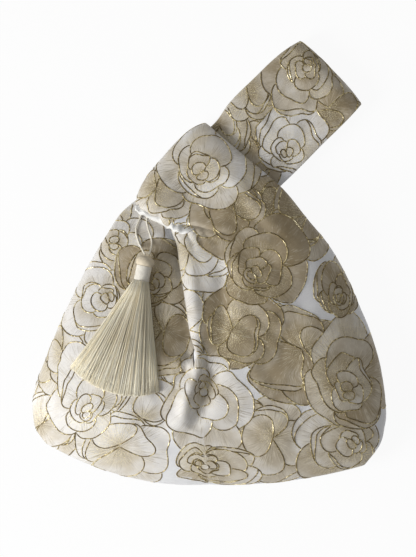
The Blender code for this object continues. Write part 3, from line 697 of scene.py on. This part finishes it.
def outline_threads(name, petals, flats, grids, front):
    """Gold thread woven round the petals: a fine raised tube along every outline that shows."""
    lift = PLY_GAP / 2 + (CLOTH + 0.00008 if front else BACK_CLOTH)
    tall = THREAD_HEIGHT if front else BACK_THREAD_HEIGHT
    boxes = [(shape.min(axis=0), shape.max(axis=0)) for shape, *_ in petals]
    finds = [laid_on(flat, grid, front) for flat, grid in zip(flats, grids)]
    for half, letter in enumerate("LR"):
        lines, ups = [], []
        for number, (shape, _, _, _, _, halves_used, rim) in enumerate(petals):
            if letter not in halves_used:
                continue
            route = smooth_line(shape[24:] if rim else shape, THREAD_SPACING)
            shown = np.ones(len(route), bool)
            low, high = boxes[number]
            for (cover, _, _, _, _, halves_covered, rim_over), (floor, ceiling) in zip(
                    petals[number + 1 :], boxes[number + 1 :]):
                if letter in halves_covered and (floor < high).all() and (ceiling > low).all():
                    if rim or not rim_over:
                        shown &= ~inside(route, cover)
            places, ways = [], []
            for spot, show in zip(route, shown):
                found = finds[half](spot) if show else None
                if found is not None:
                    place = found[0] + found[1] * lift
                if found is None or places and (place - places[-1]).length > LONGEST_STEP:
                    if len(places) > 5:
                        lines.append(places)
                        ups.append(ways)
                    places, ways = [], []
                if found is not None:
                    places.append(place)
                    ways.append(found[1])
            if len(places) > 5:
                lines.append(places)
                ups.append(ways)

        def stitched(number, run):
            swell = 0.80 + 0.20 * abs(np.sin(np.pi * run / STITCH))
            ends = np.clip(np.minimum(run, run[-1] - run) / 0.0012, 0.3, 1)
            size = (swell * ends)[:, None]
            ring = np.ones((1, THREAD_SIDES))
            return size * THREAD_WIDTH / 2 * ring, size * tall / 2 * ring

        threads = tube(f"{name}_{'left' if letter == 'L' else 'right'}", lines, THREAD_SIDES, stitched,
                       up_at=lambda number: np.array([tuple(way) for way in ups[number]]))
        threads.data.materials.append(gold_thread)
        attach(threads, "root")
        yield threads


def keep(thing, grids, flats, shade, fan):
    """Writes the petals' values and the flat places on the cloth's points, found again by place."""
    corners = np.concatenate([grid.reshape(-1, 3) for grid in grids])
    flat = np.concatenate([np.dstack([half, np.full(half.shape[:2], number * 0.5)]).reshape(-1, 3)
                           for number, half in enumerate(flats)])
    known = KDTree(len(corners))
    for number, corner in enumerate(corners.tolist()):
        known.insert(corner, number)
    known.balance()
    mesh = thing.data
    index = [known.find(corner.co)[1] for corner in mesh.vertices]
    for name, kind, key, values in (
        ("petal", "FLOAT_COLOR", "color", shade),
        ("fan", "FLOAT_VECTOR", "vector", fan),
        ("flat", "FLOAT_VECTOR", "vector", flat),
    ):
        made = mesh.attributes.new(name, kind, "POINT")
        made.data.foreach_set(key, values[index].astype(np.float32).ravel())


def node_group(name, place, value, *results):
    """An empty node group with a place and a value going in. Returns the group and its inner ends."""
    made = bpy.data.node_groups.new(name, "ShaderNodeTree")
    made.interface.new_socket(place, in_out="INPUT", socket_type="NodeSocketVector")
    made.interface.new_socket(value, in_out="INPUT", socket_type="NodeSocketFloat")
    for result in results:
        made.interface.new_socket(result, in_out="OUTPUT", socket_type="NodeSocketFloat")
    return made, made.nodes.new("NodeGroupInput").outputs, made.nodes.new("NodeGroupOutput").inputs


# Weave of the brocade and the lining: warp over weft, as a height
satin_weave, given, taken = node_group("Satin weave", "Place", "Threads per metre", "Height")
scaled = wire(satin_weave, "ShaderNodeVectorMath", (0, given[0]), ("Scale", given[1]), operation="SCALE")
warp, weft = (
    wire(satin_weave, "ShaderNodeTexWave", (0, scaled), ("Scale", closeness), ("Distortion", 0.6),
         ("Detail", 1.0), out=1, bands_direction=way)
    for closeness, way in ((1.0, "X"), (0.7, "Y"))
)
slub = wire(satin_weave, "ShaderNodeTexNoise", (0, scaled), ("Scale", 0.35), ("Detail", 3.0))
satin_weave.links.new(sums(satin_weave, "ADD", sums(satin_weave, "MULTIPLY", warp, weft), slub), taken[0])


def weave_height(tree, place, threads):
    """Height of the weave of a cloth with that many threads to the metre."""
    return wire(tree, "ShaderNodeGroup", ("Place", place), ("Threads per metre", threads),
                node_tree=satin_weave)


# Brocade: petals of silver thread from pale to dark, each shaded in strokes that run out from the bud, on a
# ground of white satin, with flecks of gold
brocade, shader = paint("Silver rose brocade", (0.74, 0.72, 0.67), 0.45)
shader.inputs["Sheen Weight"].default_value = 0.25
shader.inputs["Sheen Roughness"].default_value = 0.35
tree = brocade.node_tree
marks = wire(tree, "ShaderNodeAttribute", attribute_name="petal", out=0)
on_petal = wire(tree, "ShaderNodeAttribute", attribute_name="petal", out=3)
fan = wire(tree, "ShaderNodeAttribute", attribute_name="fan", out=1)
flat = wire(tree, "ShaderNodeAttribute", attribute_name="flat", out=1)
parts = tree.nodes.new("ShaderNodeSeparateColor")
tree.links.new(marks, parts.inputs[0])
dark, streaky, chance = parts.outputs
cloudy = wire(tree, "ShaderNodeTexNoise", (0, flat), ("Scale", 70.0), ("Detail", 3.0))
# Petal colour from each rose's darkness, which on the front holds painted shade and light as well as the
# pattern's own tones
petal_colour = ramp(
    tree, sums(tree, "ADD", dark, between(tree, cloudy, 0.3, 0.7, -0.12, 0.12)),
    (0.0, (0.76, 0.735, 0.70)), (1.0, (0.18, 0.125, 0.05)),
    (0.28, (0.59, 0.53, 0.43)), (0.6, (0.37, 0.295, 0.185)))
shaded = sums(tree, "MULTIPLY", streaky, on_petal)
fine = wire(tree, "ShaderNodeTexNoise", (0, stretched(tree, fan, 2.4, 0.75, 1)), ("Scale", 1.0),
            ("Detail", 1.0))
grouped = wire(tree, "ShaderNodeTexNoise", (0, stretched(tree, fan, 0.13, 0.25, 1)), ("Scale", 1.0),
               ("Detail", 1.0))
inked = sums(tree, "MULTIPLY", between(tree, fine, 0.55, 0.62),
             sums(tree, "MULTIPLY", between(tree, grouped, 0.38, 0.52), shaded))
stroked = blend_colour(tree, inked, petal_colour, (0.25, 0.195, 0.095, 1))
strokes = wire(tree, "ShaderNodeTexNoise", (0, fan), ("Scale", 1.0), ("Detail", 2.0), ("Roughness", 0.6))
lights = sums(tree, "MULTIPLY", between(tree, strokes, 0.44, 0.36), shaded)
lit = blend_colour(tree, sums(tree, "MULTIPLY", lights, 0.6), stroked, (0.86, 0.80, 0.64, 1))
ground = ramp(tree, cloudy, (0.35, (0.74, 0.735, 0.75)), (0.65, (0.80, 0.80, 0.80)))
coloured = blend_colour(tree, on_petal, ground, lit)
fleck = wire(tree, "ShaderNodeTexNoise", (0, flat), ("Scale", 1500.0), ("Detail", 1.0))
rich = between(tree, sums(tree, "ADD", chance, streaky), 0.9, 1.5, 0.0, 0.8)
golden = sums(tree, "MULTIPLY", between(tree, fleck, 0.57, 0.63), sums(tree, "MULTIPLY", on_petal, rich))
tree.links.new(blend_colour(tree, golden, coloured, (0.84, 0.74, 0.46, 1)), shader.inputs["Base Color"])
tree.links.new(sums(tree, "MULTIPLY", golden, 0.7), shader.inputs["Metallic"])
worn = sums(tree, "ADD", sums(tree, "MULTIPLY", on_petal, 0.4), cloudy)
tree.links.new(between(tree, worn, 0.2, 1.1, 0.36, 0.52), shader.inputs["Roughness"])
relief = sums(tree, "ADD", sums(tree, "MULTIPLY", weave_height(tree, flat, 2400.0), 0.30),
              sums(tree, "MULTIPLY", strokes, sums(tree, "MULTIPLY", streaky, 1.1)))
tree.links.new(wire(tree, "ShaderNodeBump", ("Strength", 0.55), ("Distance", 0.00025), ("Height", relief)),
               shader.inputs["Normal"])

# Gold thread: painted highlights, as if the stitches caught the light one by one, and whole stretches that
# are brighter than others
gold_thread, shader = paint("Gold thread", (0.60, 0.50, 0.28), 0.34)
shader.inputs["Metallic"].default_value = 0.45
tree = gold_thread.node_tree
run = wire(tree, "ShaderNodeAttribute", attribute_name="run", out=1)
place = wire(tree, "ShaderNodeTexCoord", out=3)
patchy = wire(tree, "ShaderNodeTexNoise", (0, place), ("Scale", 90.0), ("Detail", 3.0))
stitches = wire(tree, "ShaderNodeTexNoise", (0, stretched(tree, run, 560, 1.5, 37)), ("Scale", 1.0),
                ("Detail", 1.0))
# Painted highlight on each stitch, with brighter and darker stretches, carried into the thread's colour
glint_and_patches = sums(tree, "ADD", sums(tree, "MULTIPLY", sums(tree, "SUBTRACT", stitches, 0.5), 2.6),
              sums(tree, "MULTIPLY", sums(tree, "SUBTRACT", patchy, 0.5), 2.4))
gold = ramp(tree, between(tree, glint_and_patches, -0.8, 1.0), (0.0, (0.125, 0.088, 0.032)), (1.0, (0.97, 0.88, 0.60)),
            (0.44, (0.27, 0.205, 0.088)), (0.64, (0.58, 0.47, 0.22)))
tree.links.new(gold, shader.inputs["Base Color"])
tree.links.new(between(tree, glint_and_patches, -0.5, 0.8, 0.5, 0.26), shader.inputs["Roughness"])

# Roses of the back, which isn't seen: rows of the same two kinds
chance = np.random.default_rng(7)
BACK_ROSES = []
for row in range(8):
    for column in range(6):
        x = -112 + 46 * column + 23 * (row % 2) + chance.normal(0, 4)
        y = -150 + 42 * row + chance.normal(0, 4)
        radius, lean, tone = chance.uniform(31, 38), chance.uniform(0, 360), chance.uniform(0.12, 0.45)
        rings = FULL_ROSE if (row + column) % 3 else LOOSE_PETALS
        BACK_ROSES.append((x, y, radius, lean, (0, 1), tone, "LR", rings))

panels = []
for name, node, front, cell, roses in (
    ("Front", "outer_front", True, FRONT_CELL, FRONT_ROSES),
    ("Back", "outer_back", False, BACK_CELL, BACK_ROSES),
):
    grids = halves(front, cell)
    flats = [flat_cut(grid) for grid in grids]
    petals, shade, fan_places = weave(flats, roses)
    cloth = sheet(f"{name}_panel", grids, front)
    keep(cloth, grids, flats, shade, fan_places)
    thicken(cloth, CLOTH if front else BACK_CLOTH, True)
    cloth.data.materials.append(brocade)
    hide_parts(node)
    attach(cloth, "root")
    threads = list(outline_threads(f"{name}_outlines", petals, flats, grids, front))
    panels.append(cloth)


# Linings: white satin cut like the panels, a little smaller, and sewn in along their edges.
LINING, LINING_CELL = 0.0006, 0.0022
satin, shader = paint("White satin", (0.86, 0.86, 0.84), 0.35)
tree = satin.node_tree
place = wire(tree, "ShaderNodeTexCoord", out=3)
soft = wire(tree, "ShaderNodeTexNoise", (0, place), ("Scale", 60.0), ("Detail", 2.0))
tree.links.new(ramp(tree, soft, (0.3, (0.83, 0.82, 0.79)), (0.7, (0.90, 0.90, 0.88))),
               shader.inputs["Base Color"])
tree.links.new(between(tree, soft, 0.2, 0.8, 0.28, 0.42), shader.inputs["Roughness"])
tree.links.new(wire(tree, "ShaderNodeBump", ("Strength", 0.3), ("Distance", 0.0002),
                    ("Height", weave_height(tree, place, 3000.0))), shader.inputs["Normal"])
for name, node, front in (("Front_lining", "lining_front", True), ("Back_lining", "lining_back", False)):
    lining = sheet(name, [grid[2:-2, 2:] for grid in halves(front, LINING_CELL)], front)
    thicken(lining, LINING, False)
    lining.data.materials.append(satin)
    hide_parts(node)
    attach(lining, "root")


# Facing of the short strap: the lining's edge, turned over the lip, shows as a wavy white strip below it.
# Its left part lies just inside the lip, its right part on the cloth of the roll. The lines are in mm.
FACING_EDGE = [
    (-50.5, 33.6), (-47.5, 31.6), (-40.2, 28.2), (-32.0, 23.6),
    (-25.2, 20.4), (-19.8, 18.6), (-15.4, 18.0), (-11.6, 20.4),
]
FACING_ROOT = [
    (-50.5, 37.5), (-46.0, 37.5), (-39.0, 35.0), (-32.0, 32.0),
    (-26.0, 29.4), (-19.0, 26.0), (-14.0, 24.6), (-8.5, 23.6),
]
share = np.linspace(0, 1, 72)
edge, root = (smooth_line(np.array(line) / 1000, 0.0001) for line in (FACING_EDGE, FACING_ROOT))
edge, root = (line[(share * (len(line) - 1)).astype(int)] for line in (edge, root))
ripple = 0.0005 * np.sin(share * 34 + 2 * np.sin(share * 9))
cloth_below = BVHTree.FromObject(panels[0], bpy.context.evaluated_depsgraph_get())


def resting(spot):
    """Height of the cloth of the bag under a place."""
    hit = cloth_below.ray_cast(Vector((spot[0], spot[1], 1)), Vector((0, 0, -1)))[0]
    return hit.z if hit else 0.0


rows = []
for down in np.linspace(0, 1, 9):
    spot = root * (1 - down) + edge * down
    spot[:, 1] += ripple * down
    lying = np.array([resting(place) for place in spot])
    over = np.clip((spot[:, 0] + 0.034) / 0.009, 0, 1)
    lying = np.max([np.roll(lying, step) for step in range(-4, 5)], axis=0)
    lying = np.convolve(np.pad(lying, 4, mode="edge"), np.ones(9) / 9, mode="valid")
    lying += 0.0030 * down - 0.0017
    inside_lip = LIP_HEIGHT - 0.0006 - 0.0004 * down - 0.0010 * down ** 8
    height = inside_lip * (1 - over) + lying * over + 0.0006 * math.sin(math.pi * down ** 2)
    rows.append(np.column_stack([spot, height + ripple * 1.2 * down]))
facing = sheet("Lip_facing", [np.array(rows)], True)
thicken(facing, LINING, False)
facing.data.materials.append(satin)
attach(facing, "root")


# Knob at the tassel's top: a wooden bead wound with cream silk thread, round the cord's two ends. The
# tassel lies on the bag and leans to the left.
HEAD_TOP, AXIS_HEIGHT = np.array([-0.0422425, 0.0030573]), 0.0300756
TASSEL_LEAN = math.radians(12.0)
DOWN = np.array([-math.sin(TASSEL_LEAN), -math.cos(TASSEL_LEAN)])
SIDE = np.array([math.cos(TASSEL_LEAN), -math.sin(TASSEL_LEAN)])
HEAD_LENGTH, HEAD_WIDTH, GROOVE = 0.0086, 0.0132, 0.95

wound_thread, given, taken = node_group("Wound thread", "Place", "Closeness", "Height", "Unevenness")
turned = wire(wound_thread, "ShaderNodeMapping", (0, given[0]), (2, (0, 0, TASSEL_LEAN)))
turns = wire(wound_thread, "ShaderNodeTexWave", (0, turned), ("Scale", given[1]), ("Distortion", 1.5),
             ("Detail", 2.0), out=1, bands_direction="Y")
uneven = wire(wound_thread, "ShaderNodeTexNoise", (0, given[0]), ("Scale", 450.0), ("Detail", 2.0))
wound_thread.links.new(sums(wound_thread, "ADD", sums(wound_thread, "MULTIPLY", turns, 0.5),
                            sums(wound_thread, "MULTIPLY", uneven, 0.5)), taken[0])
wound_thread.links.new(uneven, taken[1])


def wound(name, colour, roughness, pitch):
    """Silk thread wound round the tassel, its turns across the tassel's length and a pitch apart."""
    made, shader = paint(name, colour, roughness)
    tree = made.node_tree
    wave = 0.314 / pitch
    height, uneven = (
        wire(tree, "ShaderNodeGroup", ("Place", wire(tree, "ShaderNodeTexCoord", out=3)), ("Closeness", wave),
             out=result, node_tree=wound_thread)
        for result in ("Height", "Unevenness")
    )
    # Painted shade and highlight: the thread's colour is darker in the grooves between the turns and lighter
    # on their crests
    light = tuple(min(1, part * 1.12) for part in colour)
    dark = tuple(part * 0.78 for part in colour)
    tree.links.new(ramp(tree, height, (0.25, dark), (0.75, light)), shader.inputs["Base Color"])
    tree.links.new(between(tree, uneven, 0.2, 0.8, roughness - 0.06, roughness + 0.1),
                   shader.inputs["Roughness"])
    tree.links.new(wire(tree, "ShaderNodeBump", ("Strength", 0.5), ("Distance", 0.0001), ("Height", height)),
                   shader.inputs["Normal"])
    return made


def along_tassel(thing, name, distance, finish, node):
    """Lays a piece that was shaped upright at the origin along the tassel, its middle a distance down."""
    place = HEAD_TOP + DOWN * distance
    thing.name = name
    thing.location = (*place, AXIS_HEIGHT)
    thing.rotation_euler = (math.radians(-90), 0, -TASSEL_LEAN)
    bpy.ops.object.transform_apply(location=True, rotation=True, scale=True)
    bpy.ops.object.shade_smooth()
    thing.data.materials.append(finish)
    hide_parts(node)
    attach(thing, "root")
    thing.select_set(False)


bpy.ops.mesh.primitive_uv_sphere_add(segments=44, ring_count=34, radius=1)
knob = bpy.context.object
knob.scale = (HEAD_WIDTH / 2, HEAD_WIDTH / 2, HEAD_LENGTH / 2)
bpy.ops.object.transform_apply(scale=True)
bpy.ops.object.mode_set(mode="EDIT")
bpy.ops.mesh.select_all(action="DESELECT")
bpy.ops.object.mode_set(mode="OBJECT")
levels = sorted({round(corner.co.z, 7) for corner in knob.data.vertices})
for corner in knob.data.vertices:
    corner.select = levels.index(round(corner.co.z, 7)) % 2 == 0
bpy.ops.object.mode_set(mode="EDIT")
bpy.ops.transform.resize(value=(GROOVE, GROOVE, 1), center_override=(0, 0, 0))
bpy.ops.object.mode_set(mode="OBJECT")
knob_thread = wound("Knob thread", (0.70, 0.61, 0.46), 0.55, 0.0005)
along_tassel(knob, "Knob", HEAD_LENGTH / 2, knob_thread, "tassel_head")


# Band under the knob: white silk thread wound tight round the top of the skirt, turn beside turn.
BAND_LENGTH, BAND_WIDTH, BAND_START = 0.0106, 0.0104, 0.0070
BAND_TURNS, TURN_SWELL, BAND_CHAMFER = 24, 1.02, 0.92
bpy.ops.mesh.primitive_circle_add(vertices=44, radius=BAND_CHAMFER * BAND_WIDTH / 2, fill_type="NGON",
                                  location=(0, 0, BAND_LENGTH / 2))
band = bpy.context.object
bpy.ops.object.transform_apply(location=True)
bpy.ops.object.mode_set(mode="EDIT")
bpy.ops.mesh.select_all(action="SELECT")
bpy.ops.transform.resize(value=(1 / BAND_CHAMFER, 1 / BAND_CHAMFER, 1),
                         center_override=(0, 0, BAND_LENGTH / 2))
bpy.ops.mesh.inset(thickness=0.0007)
bpy.ops.mesh.select_all(action="SELECT")
for step in range(2 * BAND_TURNS):
    bpy.ops.mesh.extrude_region_move(
        TRANSFORM_OT_translate={"value": (0, 0, -BAND_LENGTH / (2 * BAND_TURNS))})
    grow = TURN_SWELL if step % 2 == 0 else 1 / TURN_SWELL
    bpy.ops.transform.resize(value=(grow, grow, 1), center_override=(0, 0, 0))
bpy.ops.mesh.select_all(action="SELECT")
bpy.ops.mesh.normals_make_consistent(inside=False)
bpy.ops.object.mode_set(mode="OBJECT")
band_thread = wound("Band thread", (0.80, 0.76, 0.67), 0.26, 0.00044)
along_tassel(band, "Band", BAND_START + BAND_LENGTH / 2, band_thread, "tassel_band")


# Skirt of the tassel: cream silk strands that hang from the band, cut level, lying on the bag in a fan.
# They cling together in locks, and a few stray.
SKIRT_START, SKIRT_LENGTH = 0.0172, 0.0785
LEFT_SPREAD, RIGHT_SPREAD = math.radians(23.5), math.radians(17.5)
STRANDS, LOCKS, STRAND_TOP, STRAND_TIP = 1500, 34, 0.00021, 0.00015


def skirt_spot(across, along, height):
    """Place in the skirt: across from -1 to 1, along from 0 at the band to 1, height from 0 to 1."""
    left, right = math.tan(LEFT_SPREAD), math.tan(RIGHT_SPREAD)
    start = BAND_WIDTH / (left + right)
    apex = HEAD_TOP + DOWN * (SKIRT_START - start) + SIDE * (start * left - BAND_WIDTH / 2)
    angle = LEFT_SPREAD * min(across, 0) + RIGHT_SPREAD * max(across, 0)
    far = start / math.cos(angle) * (1 - along) + (start + SKIRT_LENGTH * (1 - 0.045 * across**2)) * along
    place = apex + (DOWN * math.cos(angle) + SIDE * math.sin(angle)) * far
    full = BAND_WIDTH * max(1 - along, 0) ** 1.3 * 0.82 + 0.003
    depth = full * (0.22 + 0.78 * math.sqrt(max(0.0, 1 - min(abs(across), 1) ** 2)))
    rest = resting(place) + 0.0007
    held = max(AXIS_HEIGHT - depth / 2, rest)
    near = max(1 - along, 0) ** 6
    return (*place, held * near + rest * (1 - near) + depth * height)


chance = np.random.default_rng(3)
strands = []
for number in range(STRANDS):
    across = -1 + 2 * (number + chance.uniform(0, 1)) / STRANDS
    lock = -1 + 2 * (math.floor((across + 1) / 2 * LOCKS) + 0.5) / LOCKS
    height, end, drift = chance.uniform(0, 1), 1 - abs(chance.normal(0, 0.012)), chance.normal(0, 0.018)
    if chance.random() < 0.03:
        drift *= 3.5
    pull = chance.uniform(0.1, 0.7)
    strands.append([skirt_spot(across + (lock - across) * pull * math.sin(math.pi * t * 0.8) + drift * t**2,
                               t * end, height) for t in np.linspace(0, 1, 9)])
skirt = tube("Skirt", strands, 3, lambda number, run: (
    np.linspace(STRAND_TOP, STRAND_TIP, len(run))[:, None] * np.ones((1, 3)),) * 2)
skirt_silk, shader = paint("Skirt silk", (0.80, 0.77, 0.64), 0.38)
shader.inputs["Sheen Weight"].default_value = 0.6
shader.inputs["Sheen Roughness"].default_value = 0.4
shader.inputs["Sheen Tint"].default_value = (1.0, 0.95, 0.82, 1)
tree = skirt_silk.node_tree
run = wire(tree, "ShaderNodeAttribute", attribute_name="run", out=1)
strand_chance = wire(tree, "ShaderNodeSeparateXYZ", (0, run), out=2)
patchy = wire(tree, "ShaderNodeTexNoise", (0, wire(tree, "ShaderNodeTexCoord", out=3)), ("Scale", 60.0))
tone = sums(tree, "ADD", strand_chance, sums(tree, "MULTIPLY", sums(tree, "SUBTRACT", patchy, 0.5), 0.8))
cream = ramp(tree, tone, (0.0, (0.94, 0.83, 0.58)), (1.0, (1.0, 0.97, 0.83)), (0.5, (0.99, 0.91, 0.70)))
tree.links.new(cream, shader.inputs["Base Color"])
tree.links.new(between(tree, tone, 0.0, 1.0, 0.45, 0.30), shader.inputs["Roughness"])
skirt.data.materials.append(skirt_silk)
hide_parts("tassel_skirt")
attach(skirt, "root")


# Table: a plain white floor that keeps the bag's shadow but looks white itself, lit by a large soft lamp
# from the left, as by a window, in a pale room.
LAMP_PLACE, LAMP_SIZE, LAMP_POWER, ROOM_LIGHT = (-1.00, -0.42, 0.58), 0.6, 14.5, 0.33
bpy.ops.mesh.primitive_plane_add(size=8.0, location=(0, 0, 0))
table = bpy.context.object
table.name = "Table"
white, shader = paint("White table", (0.90, 0.90, 0.90), 0.9)
tree = white.node_tree
looked_at = sums(tree, "MAXIMUM", wire(tree, "ShaderNodeLightPath", out="Is Camera Ray"),
                 wire(tree, "ShaderNodeLightPath", out="Is Glossy Ray"))
glow = wire(tree, "ShaderNodeEmission")
surface = wire(tree, "ShaderNodeMixShader", (0, sums(tree, "MULTIPLY", looked_at, 0.93)),
               (1, shader.outputs[0]), (2, glow))
tree.links.new(surface, tree.nodes["Material Output"].inputs["Surface"])
table.data.materials.append(white)

bpy.ops.object.light_add(type="AREA", location=LAMP_PLACE)
lamp = bpy.context.object
lamp.name = "Window light"
lamp.data.shape = "DISK"
lamp.data.size = LAMP_SIZE
lamp.data.energy = LAMP_POWER
lamp.rotation_euler = (Vector((0, 0, 0.02)) - lamp.location).to_track_quat("-Z", "Y").to_euler()
room = bpy.data.worlds.new("Room")
room.use_nodes = True
background = room.node_tree.nodes["Background"]
background.inputs["Color"].default_value = (1, 1, 1, 1)
background.inputs["Strength"].default_value = ROOM_LIGHT
bpy.context.scene.world = room
bpy.context.scene.view_settings.view_transform = "Standard"
